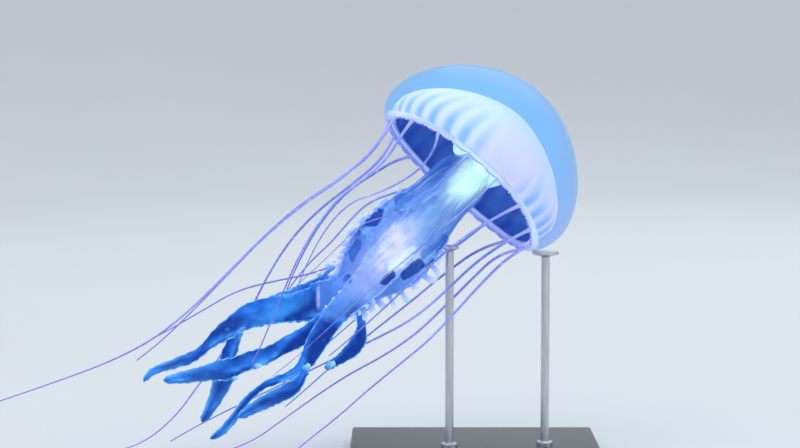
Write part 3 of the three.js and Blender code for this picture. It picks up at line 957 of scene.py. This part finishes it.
def gonad(index):
    angle, out = math.radians(GONAD.first_angle + 360 * index / GONADS), GONAD.from_axis
    polar, turn = ball_grid(0.06, 56, 72)
    pucker = 1 + 0.07 * np.sin(6 * turn + 2.2 * np.sin(4 * polar)) * np.sin(polar)
    pucker = pucker + 0.05 * np.sin(9 * polar + 2 * np.cos(3 * turn))
    wide = GONAD.across * pucker * np.sin(polar)
    ball = [wide * np.cos(turn), wide * np.sin(turn), GONAD.tall * np.cos(polar)]
    centre = (out * math.cos(angle), out * math.sin(angle), GONAD.height)
    return skin(f"gonad_lump_{index}", leaned(np.stack(ball, axis=-1) + centre))


lumps = join("gonad_lumps", [gonad(index) for index in range(GONADS)])
dress(lumps, milk, "gonad", *[f"gonad_{n + 1}" for n in range(GONADS)])

# %% [markdown]
# ## Mouth arms
# An arm is a ribbon, thick down its middle and thin at its edges, which grow longer than the middle
# and so must ruffle. Above its root it runs up the column as a ridge, so that they pass into each
# other.

# %% Arm paint
arm_paint = flesh("blue ribbon flesh")
around, along = arm_paint.across()
side = 1 - (around * 2 - 1).abs()
edge = ((around * 2 - 1).abs() * 2 - 1).abs()


def ribbons(colour, rough, below):
    """Down the free arms: long sweeps of deep and brighter blue, with painted light making them
    lightest towards one edge, a painted azure gleam, and painted cyan highlights on the edges,
    more near the tips.
    """
    x, _, z = arm_paint.millimetres()
    lengthwise = arm_paint.node("CombineXYZ", None, {0: side * 1.6, 1: along * 13, 2: z * 0.03})
    sweep = arm_paint.noise(1.0, 2, lengthwise, 0.4)
    lit = (sweep * 1.2 + (side - 0.5) * 0.3 + (rough - 0.5) * 0.12).rise(0.44, 0.84)
    gleam = 1 - oval(x, z, *ARM_GLEAM, (sweep - 0.5) * 3.0).rise(0.0, 1.3)
    free = arm_paint.over(
        arm_paint.mix(lit, FLESH.ribbon, FLESH.ribbon_light),
        (gleam * 0.7, FLESH.azure),
        (sweep.rise(0.56, 0.72) * edge * 0.8, FLESH.cyan),
        (along.rise(0.78, 0.93) * (0.25 + side * 0.75) * edge * 0.6, FLESH.cyan),
    )
    return arm_paint.mix(below, colour, free)


colour, thin, light = flesh_colour(arm_paint, ribbons)
fine = arm_paint.noise(240, 3)
# A painted highlight along both edges of the arms: bright cyan, more painted glow and a little more
# cover, with a few cyan flecks besides.
edge_highlight = (edge + (fine - 0.5) * 0.25).rise(0.80, 0.97) * along.rise(0.16, 0.26)
for share in (edge_highlight * 0.85, fine.rise(0.62, 0.80) * 0.15):
    colour = arm_paint.mix(share, colour, FLESH.cyan)
arm_paint.shine(colour, light + edge_highlight * 0.15)
arm_paint.feed("Alpha", 0.95 + edge_highlight * 0.05)
arm_paint.bump(thin * 0.6 + fine * 0.4, 0.4, 0.0012)

# %% [markdown]
# The frill along an arm's edges is whiter than the arm, and the fingers on it are whiter still. On
# the middle of the body they are milky lilac, and further down they are bright cyan.

# %% Frill and finger paints
def fringe_paint(name, root, tip_pale, tip_blue, tipward):
    """Flesh that pales from root to tip, where tipward reads 0 to 1 from the piece's own UV."""
    paint = flesh(name)
    tip = tipward(*paint.across())
    grain, flecks = paint.noise(420, 3), paint.noise(90, 1)
    below = 1 - up_body(paint).rise(-6, 22)
    pale = paint.over(
        paint.mix(tip.rise(0.1, 0.95), root, tip_pale),
        (grain.rise(0.5, 0.7) * tip * 0.5, (0.72, 0.80, 0.96)),
        (flecks.rise(0.55, 0.65) * tip.rise(0.3, 0.8) * 0.7, FLESH.cyan),
    )
    blue = paint.mix(tip.rise(0.1, 0.9), FLESH.ribbon_light, tip_blue)
    # Painted glow, stronger towards the tips.
    paint.shine(paint.mix(below, pale, blue), 0.24 + tip * 0.16)
    paint.bump(grain, 0.4, 0.0006)
    return paint


FRILL = ((0.20, 0.32, 0.80), (0.50, 0.56, 0.92), FLESH.cyan)
FINGER = ((0.20, 0.36, 0.82), (0.54, 0.64, 0.95), (0.34, 0.74, 0.96))

frill_paint = fringe_paint("pale frill", *FRILL, lambda u, v: 1 - (u * 2 - 1).abs())
finger_paint = fringe_paint("milky fingers", *FINGER, lambda u, v: v)

# %% Ribbons
RUFFLE = Sizes(high=2.6, every=24, quick=0.42, full_from=8)
LEAD = 26  # how far up the column an arm's ridge begins
RIDGE = Sizes(half=3.0, thick=0.8, stations=7)
CUFF_FOLD = Sizes(wider=1.8, raised=1.5, stops_in=0.9)
ACROSS = 24
THICKS = [8, 3.4, 1.8, 1.1]  # how thick an arm is along its length
EDGE_HALF = 0.35  # half the thickness of its edges
ARM_STEP, FRILL_STEP = 0.75, 0.35


def smooth(share):
    return share**2 * (3 - 2 * share)


def ribbon(name, centre, normal, half):
    """A closed skin whose faces lie half a thickness either side of a sheet of centres."""
    near, far = centre + normal * half[..., None], centre - normal * half[..., None]
    return skin(name, np.concatenate([near, far[:, ::-1]], axis=1))


def arm_line(run):
    """The arm's line, led by its ridge up the column."""
    right, out = run["off"]
    lead_t = np.linspace(1 - LEAD / column_line.long, 0.985, RIDGE.stations)
    point, _, across, outward = column_line.stations(lead_t)
    near = eased(COLUMN_RADII, lead_t, COLUMN_ROUNDED) / COLUMN_RADII[-1]
    near = (near * np.linspace(0.78, 0.94, RIDGE.stations))[:, None]
    ridge = point + (across * right + outward * out) * near
    end, _, across, outward = column_line.station(1.0)
    start = end + end_ahead * 0.6 + across * right + outward * out
    return Line(np.vstack([ridge, trail(start, run["long"], run["turns"], run["away"])]))


def cuff(run, t):
    """1 on a turned-back cuff: it grows slowly along the arm and stops at once."""
    if "cuff" not in run:
        return np.zeros_like(t)
    stops = np.clip((run["cuff"] - t) * run["long"] / CUFF_FOLD.stops_in, 0, 1)
    return smooth(np.clip((t - run["cuff"] + 0.10) / 0.09, 0, 1)) * stops


def wave_at(t, half):
    """How high an arm's waves are: lower at its root and where it is narrow."""
    full = RUFFLE.full_from
    return RUFFLE.high * np.minimum(1, half / full) * np.minimum(1, t * full)


def arm_sheet(line, run, step=ARM_STEP):
    """Rows of stations down an arm, with its half width, half thickness and waves at each."""
    lead = line.long - run["long"]
    s = np.linspace(0, line.long, int(line.long / step))
    t = np.clip((s - lead) / run["long"], 0, 1)
    ridged = lead > 2
    grown = smooth(np.clip(s / max(lead, 1), 0, 1) if ridged else np.ones_like(s))
    half = eased(run["widths"], t) / 2 * grown + (RIDGE.half * (1 - grown) if ridged else 0)
    half = half + CUFF_FOLD.wider * cuff(run, t)
    thick = row_at(run.get("thick", THICKS), t) / 2 * grown + RIDGE.thick * (1 - grown)
    half = half * np.clip((line.long - s) / 2.5, 0.05, 1) ** 0.5
    return s / line.long, t, half, thick, eased(run["face"], t), wave_at(t, half)


def share_at(line, run, t):
    """The share of an arm's whole line, ridge and all, that t of the arm itself is at."""
    return (line.long - run["long"] + t * run["long"]) / line.long


def ruffle(run, t, c, wave):
    """How far the sheet waves out of its face at c, from -1 to 1 across it."""
    phase = 2 * math.pi * t * run["long"] / RUFFLE.every
    big = np.abs(c) ** 1.6 * np.sin(phase + np.where(c < 0, 0, 2))
    edge = np.clip((np.abs(c) - 0.55) / 0.45, 0, 1) ** 1.5
    quick = RUFFLE.quick * edge * np.sin(phase * 3.7 + np.where(c < 0, 0, 1.3))
    return wave * (big + quick) + CUFF_FOLD.raised * cuff(run, t)


def edge_line(run, t, place, side, reach, wave):
    """Points along one edge of an arm, reach out from the line's place to its outermost part."""
    point, across, outward = place
    waved = ruffle(run, t, side * np.ones_like(t), wave)
    return point + across * (side * reach)[:, None] + outward * waved[:, None]


def arm(name, line, run):
    share, t, half, thick, face, wave = arm_sheet(line, run)
    point, _, across, outward = line.stations(share, face)
    c = np.sin(np.linspace(-math.pi / 2, math.pi / 2, ACROSS))[None]
    rib = np.clip(1 - np.abs(c) ** 2.4, 0, 1)
    thin = np.minimum(EDGE_HALF, thick[:, None])
    body = thin + (thick[:, None] - thin) * rib
    centre = point[:, None] + across[:, None] * (half[:, None] * c)[..., None]
    centre = centre + outward[:, None] * ruffle(run, t[:, None], c, wave[:, None])[..., None]
    return ribbon(name, centre, np.broadcast_to(outward[:, None], centre.shape), body)


print("ribbons ready")

# %% [markdown]
# ## Frills and fingers
# A frill is a second ribbon, grown from the arm's edge in soft scallops. On it stand fingers, bent
# rounded tubes that swell before their tips: thick knobs on the upper edge near the mouth, long
# fingers with gaps between on the lower edge, and few small ones further down. Each has its own
# length, lean and curl, read from a sine so that each run of the script grows the same ones.

# %% Frills
FRILL_WAVE = 8.5
FRILL_ACROSS = 10
FRILL_STARTS = 8  # how far up the ridge, before the arm itself, a frill begins


def chance(seed, number):
    """A number between 0 and 1 that looks picked at random, and is always the same."""
    return (np.sin(number * 12.9898 + seed * 78.233) * 43758.5453) % 1.0


def frill(name, line, run, side, reaches, every):
    share, t, half, _, face, wave = arm_sheet(line, run, FRILL_STEP)
    keep = share * line.long > (line.long - run["long"]) - FRILL_STARTS
    share, t, half, face, wave = (row[keep] for row in (share, t, half, face, wave))
    point, _, across, outward = line.stations(share, face)
    s, seed = share * line.long, 1.7 * side + len(name)
    scallop = 0.5 + 0.5 * np.sin(2 * math.pi * s / every + 1.8 * np.sin(s * 0.37 + seed) + seed)
    ends = np.clip(np.minimum(s - s[0], s[-1] - s) / 3, 0.02, 1)
    reach = np.maximum(eased(reaches, t) * (0.35 + 0.65 * scallop) * ends, 0.05)[:, None]
    c = np.sin(np.linspace(-0.12, math.pi / 2, FRILL_ACROSS))[None]
    sway = np.sin(2 * math.pi * s / FRILL_WAVE + seed)[:, None]
    base = edge_line(run, t, (point, across, outward), side, half, wave)
    centre = base[:, None] + across[:, None] * (side * reach * c * 0.92)[..., None]
    centre = centre + outward[:, None] * (0.4 * sway * c * reach)[..., None]
    plump = 0.24 + 0.16 * np.sqrt(np.clip(1 - np.abs(c) ** 7, 0, 1)) * np.minimum(reach, 2)
    normal = unit(outward[:, None] - across[:, None] * (side * 0.5 * sway)[..., None])
    return ribbon(name, centre, np.broadcast_to(normal, centre.shape), plump * ends[:, None])


print("frills ready")

# %% Fingers
FINGER_RINGS = 18
FINGER_SIDES = 16
FINGER_SUNK = 0.8  # how far inside the arm's edge a finger stands
BULB = 0.62  # the share of a finger at which it begins to round off


def fingers(name, line, run, side, first, last, every, long, wide):
    """Rounded fingers along one edge of an arm, from its share first to its share last."""
    seed = 3.1 * side + 0.37 * len(name) + long
    number = np.arange(int((last - first) * run["long"] / every))
    t = first + (number + 0.5 + 0.3 * (chance(seed, number) - 0.5)) * every / run["long"]
    face = eased(run["face"], t)
    point, ahead, across, outward = line.stations(share_at(line, run, t), face)
    half = eased(run["widths"], t) / 2 + CUFF_FOLD.wider * cuff(run, t)
    place, wave = (point, across, outward), wave_at(t, half)
    root = edge_line(run, t, place, side, half - FINGER_SUNK, wave)
    length = long * (0.55 + 0.75 * chance(seed + 1, number)) + FINGER_SUNK
    width = wide * (0.8 + 0.4 * chance(seed + 2, number))
    lean = chance(seed + 3, number) * 1.0 - 0.35
    curl = chance(seed + 4, number) * 0.9 - 0.45
    up = np.linspace(0.02, 1, FINGER_RINGS)[:, None, None]
    turn = round_turn(FINGER_SIDES)[None, :, None]
    tube = 0.60 + 0.50 * up**2.5
    cap = np.sqrt(np.clip(1 - np.clip((up - BULB) / 0.385, 0, 1) ** 2.6, 0, 1))
    made = []
    for n in number:
        radius = width[n] / 2 * tube * cap * (1 + 0.07 * np.sin(3 * turn + 6 * up + n))
        bent = lean[n] * ahead[n] + curl[n] * outward[n]
        centre = root[n] + (across[n] * side * up + bent * up**2) * length[n]
        around = ahead[n] * np.cos(turn) + outward[n] * 0.72 * np.sin(turn)
        made.append(skin(f"{name}_{n}", centre + around * radius))
    return made


def lump(name, line, run, place, c, size):
    """A puckered bead on the arm, where a frill is rolled up on itself."""
    point, ahead, across, outward = line.station(share_at(line, run, place))
    half = row_at(run["widths"], place) / 2
    polar, turn = (angle[..., None] for angle in ball_grid(0.1, 16, 24))
    pucker = 0.26 * np.sin(3 * turn + 5 * polar) + 0.12 * np.sin(8 * turn - 2 * polar)
    ball = np.sin(polar) * (across * np.cos(turn) + outward * np.sin(turn))
    ball = (0.85 * ball + 1.5 * np.cos(polar) * ahead) * size * (1 + pucker * np.sin(polar))
    return skin(name, ball + point + across * c * half + outward * 0.6)


print("fingers ready")

# %% Four arms
# How an arm runs: where it leaves the column, its slopes down and away, its widths and the way it
# faces. A frill has its side, its reach and its scallops; a row of fingers its side, where on the
# arm it begins and ends, how far apart they stand, and how long and wide they are.
BACK_FRILL = [1.2, 1.6, 1.6, 1.2, 0.9, 0.6, 0.5, 0.5, 0.5]
ARM_RUNS = [
    {
        "name": "left", "off": [10, -4.6], "long": 196,
        "turns": [44, 50, 56, 59, 46, 24, 12, 5, 15, 30, 40, 41, 20, 17, 60],
        "away": [-8, 2, 3, 2],
        "widths": [20, 26, 30, 26, 16, 20, 18, 15.5, 15.5, 13, 9, 5, 6.5, 4.5, 2.6],
        "face": [0, 5, 5, 20, 10], "cuff": 0.405,
        "frills": [
            (1, [1.2, 1.6, 1.6, 1.4, 0.8, 0.5, 0.4, 0.4, 0.4, 0.4, 0.4], 5.6),
            (-1, [0.8, 1.0, 1.2, 1.6, 1.8, 1.2, 0.9, 0.9, 0.8, 0.6, 0.5], 6.4),
        ],
        "fingers": [
            (1, -0.02, 0.31, 4.6, 4.4, 5.2),
            (-1, 0.28, 0.42, 4.4, 3.2, 2.8),
            (-1, 0.46, 0.62, 7.4, 1.2, 2.0),
        ],
    },
    {
        "name": "front", "off": [0, 12], "long": 182,
        "turns": [44, 48, 51, 50, 46, 43, 53, 60, 63, 26, 21, 40, 57, 50, 26],
        "away": [-8, -2, 2, 2],
        "widths": [18, 22, 22, 20, 17, 13.5, 12.5, 12, 9.5, 4.5, 4, 3.6, 3.4, 5, 2.6],
        "face": [0, 0, 10, -20, 10],
        "frills": [
            (1, [0.2, 0.2, 0.3, 0.6, 0.8, 0.6, 0.5, 0.5, 0.5, 0.5, 0.4], 6.2),
            (-1, [0.4, 0.8, 1.4, 1.4, 1.0, 0.6, 0.5, 0.6, 0.9, 0.8, 0.6], 6.6),
        ],
        "fingers": [
            (-1, 0.27, 0.39, 5.4, 3.2, 3.0),
            (1, 0.33, 0.44, 5.4, 1.6, 2.4),
            (-1, 0.60, 0.80, 9.0, 1.2, 1.8),
        ],
        "lumps": [(0.60, -0.5, 2.0)],
    },
    {
        "name": "right", "off": [-11.6, 4], "long": 187,
        "turns": [44, 62, 34, 22, 30, 43, 37, 27, 28, 19, 20, 10, 11, 9],
        "away": [-8, 0, 2, 2],
        "widths": [18, 20, 17, 15, 14, 13, 11, 9.5, 9, 9.5, 12.5, 10, 7, 4],
        "face": [0, 0, 5, -15, 10],
        "frills": [
            (1, [0.6, 0.8, 0.8, 0.6, 0.5, 0.5, 0.5, 0.6, 0.5, 0.4], 6.0),
            (-1, [1.0, 1.8, 2.0, 1.8, 1.2, 0.7, 0.6, 1.0, 1.0, 0.8, 0.6], 7.6),
        ],
        "fingers": [
            (-1, 0.0, 0.38, 6.4, 7.0, 4.8),
            (-1, 0.66, 0.86, 8.6, 1.4, 2.0),
        ],
        "lumps": [(0.70, -0.9, 1.7), (0.78, -1.15, 1.5)],
    },
    {
        "name": "back", "off": [0, -13], "long": 190,
        "turns": [44, 39, 38, 34, 26, 17, 14, 28, 62, 74, 76, 62, 58],
        "away": [-8, 6, 4, 2],
        "widths": [18, 22, 23, 20, 16, 12, 9, 7, 6.5, 8, 12, 8, 3.5],
        "face": [0, -5, 0, 20, 0],
        "frills": [(side, BACK_FRILL, every) for side, every in ((1, 6.4), (-1, 6.8))],
        "fingers": [(1, 0.02, 0.40, 6.6, 3.8, 3.6), (-1, 0.02, 0.40, 7.0, 4.0, 3.8)],
    },
]

LEAD_SHARE, WITH_LEAD = 0.12, 210  # an arm's ridge as a share of its line, and that line's length

trails = {}


def lengthen_map(piece, start, share):
    """Lets a branch's UV map go on from the arm it leaves, so that the paint keeps its scale."""
    layer = piece.data.uv_layers.active.data
    flat = np.empty(len(layer) * 2, dtype=np.float32)
    layer.foreach_get("uv", flat)
    flat[1::2] = start + flat[1::2] * share
    layer.foreach_set("uv", flat)


def make_arm(name, line, run, nodes):
    flesh_piece = arm(name, line, run)
    if "from" in run:
        lengthen_map(flesh_piece, LEAD_SHARE + run["at"], run["long"] / WITH_LEAD)
    dress(flesh_piece, arm_paint, "arm", *nodes)
    edges = [frill(f"{name}_frill", line, run, *edge) for edge in run["frills"]]
    dress(join(f"{name}_frill", edges), frill_paint, "arm")
    small = []
    for row in run.get("fingers", []):
        small += fingers(f"{name}_finger", line, run, *row)
    small += [lump(f"{name}_lump", line, run, *each) for each in run.get("lumps", [])]
    if small:
        dress(join(f"{name}_fingers", small), finger_paint, "arm")


for run in ARM_RUNS:
    line = arm_line(run)
    make_arm(f"arm_{run['name']}", line, run, [f"arm_{run['name']}_{n}" for n in (1, 2, 3)])
    start = line.station(share_at(line, run, 0))[0]
    trails[run["name"]] = Line(trail(start, run["long"], run["turns"], run["away"]))

# %% Two branches
BRANCH_RUNS = [
    {
        "name": "skirt", "from": "right", "at": 0.325, "off": [-8.6, 0.6], "long": 43,
        "turns": [92, 90, 68, 40, 34, 36],
        "away": [-4, 0],
        "widths": [5, 5, 8.5, 8, 5, 3.4],
        "thick": [1.6, 1.2], "face": [10, 10, 0],
        "frills": [(-1, [0.5, 0.7, 0.7, 0.7, 0.8], 4.6), (1, [0.4, 0.5, 0.5, 0.6], 4.0)],
        "lumps": [(0.94, 0.2, 2.3)],
    },
    {
        "name": "fork", "from": "front", "at": 0.62, "off": [-4.2, 1.5], "long": 46,
        "turns": [66, 34, 24, 27, 30, 36],
        "away": [-4, 0],
        "widths": [4, 8, 8.5, 7.5, 6, 3.5],
        "thick": [1.4, 1], "face": [10, 0, 10],
        "frills": [(-1, [0.5, 0.9, 1.0, 0.8, 0.6], 5.8), (1, [0.5, 0.6, 0.6, 0.5], 5.0)],
    },
]

BRANCH_SUNK = 3.0  # how far back into its arm a branch begins

for run in BRANCH_RUNS:
    point, ahead, across, outward = trails[run["from"]].station(run["at"])
    start = point + ahead * 0.6 + across * run["off"][0] + outward * run["off"][1]
    path = trail(start, run["long"], run["turns"], run["away"])
    line = Line(np.vstack([path[0] + unit(path[0] - path[1]) * BRANCH_SUNK, path]))
    make_arm(f"branch_{run['name']}", line, run, [f"arm_{run['from']}_{run['name']}"])

# %% [markdown]
# ## The stand
# A plain black base, two steel rods and a small cup on each. The base is a cube pulled to size, with
# its four upright edges rounded wide and its rims rounded small. The cups are turned: a profile is
# spun round the rod's axis. They stand just high enough to touch the skin that they hold.

# %% Stand paints
satin = Paint("black satin base", Roughness=0.35, Coat_Weight=0.25, Coat_Roughness=0.12)
mottle = satin.noise(9, 4)
dust = satin.noise(900, 2)
black = satin.mix(mottle.rise(0.3, 0.7), (0.012, 0.014, 0.018), (0.022, 0.024, 0.030))
satin.feed("Base Color", black)
satin.feed("Roughness", 0.30 + mottle * 0.12 + dust.rise(0.62, 0.75) * 0.12)
satin.bump(dust, 0.08, 0.0002)

steel = Paint("brushed steel", Metallic=1.0)
brushing = steel.noise(60, 4, steel.place(scale=(40, 40, 1.2)))
steel.feed("Base Color", steel.mix(brushing.rise(0.3, 0.7), (0.50, 0.51, 0.53), (0.66, 0.67, 0.69)))
steel.feed("Roughness", 0.24 + brushing * 0.2)
steel.bump(brushing, 0.12, 0.0002)

# %% Base
BASE = Sizes(wide=150, deep=110, thick=9)
ROUNDED = ((True, 26, 16), (False, 1.5, 4))  # upright edges or rims, how wide, in how many steps


def to_round(edge, upright):
    rises = abs(edge.verts[0].co.z - edge.verts[1].co.z) > 1e-4
    at_rim = any(abs(face.normal.z) > LOOKS_UP for face in edge.link_faces)
    return rises if upright else at_rim and not rises


base = added("base_plate", bpy.ops.mesh.primitive_cube_add, size=1)
with editing():
    bpy.ops.transform.resize(value=(BASE.wide * MM, BASE.deep * MM, BASE.thick * MM))
    bpy.ops.transform.translate(value=(0, 0, BASE.thick * MM / 2))
    for upright, width, steps in ROUNDED:
        pick(base, "edges", lambda edge: to_round(edge, upright))
        bpy.ops.mesh.bevel(offset=width * MM, segments=steps, affect="EDGES", profile=0.5)
bpy.ops.object.shade_smooth_by_angle(angle=math.radians(30))
dress(base, satin, "base", "stand_base")

# %% Rods and cups
RODS = {
    "bell": {"x": 42, "y": -7, "top": 122.9, "radius": 8, "hollow": 34},
    "column": {"x": -15.5, "y": -13, "top": 126.9, "radius": 5.5, "hollow": 18},
}  # where each stands, its cup's radius and the radius of the ball that the cup's dish would hold
ROD_RADIUS = 2.5
COLLAR = Sizes(radius=5, tall=2.6, bevel=0.6)
CUP = Sizes(thick=2, bevel=0.3, steps=10)
SPIN_STEPS = 48


def turned(name, profile, place):
    """Spins a profile of (radius, height) round the upright line through a place."""
    piece = added(name, bpy.ops.mesh.primitive_plane_add, size=1)
    with editing():
        mesh = bmesh.from_edit_mesh(piece.data)
        bmesh.ops.delete(mesh, geom=mesh.verts[:], context="VERTS")
        row = [mesh.verts.new((place[0] + r * MM, place[1], place[2] + z * MM)) for r, z in profile]
        for first, second in zip(row, row[1:]):
            mesh.edges.new((first, second))
        bmesh.update_edit_mesh(piece.data)
        bpy.ops.mesh.select_all(action="SELECT")
        bpy.ops.mesh.spin(steps=SPIN_STEPS, angle=2 * math.pi, center=place, axis=(0, 0, 1))
        bpy.ops.mesh.select_all(action="SELECT")
        bpy.ops.mesh.remove_doubles(threshold=DOUBLES)
        bpy.ops.mesh.normals_make_consistent(inside=False)
    bpy.ops.object.shade_smooth_by_angle(angle=math.radians(35))
    return piece


def rod_profile(tall):
    wide, high, bevel = COLLAR.radius, COLLAR.tall, COLLAR.bevel
    collar = [(0, 0), (wide, 0), (wide, high - bevel), (wide - bevel, high), (ROD_RADIUS + 0.2, high)]
    return [*collar, (ROD_RADIUS, high + 0.2), (ROD_RADIUS, tall), (0, tall)]


def cup_profile(wide, hollow):
    thick, bevel = CUP.thick, CUP.bevel
    rim = hollow - math.sqrt(hollow**2 - wide**2)
    under = [(0, -bevel), (ROD_RADIUS + 0.5, 0), (wide - bevel, rim + bevel), (wide, rim + 0.6)]
    across = wide * np.linspace(1, 0, CUP.steps)
    dish = [(r, hollow - math.sqrt(hollow**2 - r**2) + thick) for r in across]
    return [*under, (wide, rim + thick - bevel), *dish]


for name, rod in RODS.items():
    place = Vector((rod["x"], rod["y"], BASE.thick)) * MM
    top = Vector((rod["x"], rod["y"], rod["top"] + CUP.bevel)) * MM
    bar = turned(f"rod_{name}", rod_profile(rod["top"] - BASE.thick), place)
    dress(bar, steel, "rod", f"stand_rod_{name}")
    cup = turned(f"cup_{name}", cup_profile(rod["radius"], rod["hollow"]), top)
    dress(cup, steel, "rod", f"stand_cup_{name}")

# %% Floor paint
floor = Paint("pale floor", Roughness=0.75)
haze = floor.noise(3, 3)
floor.shine(floor.mix(haze, (0.50, 0.53, 0.57), (0.53, 0.56, 0.60)), 0.22)
room.data.materials.append(floor.material)
print("floor paint:", len(floor.tree.nodes), "nodes")
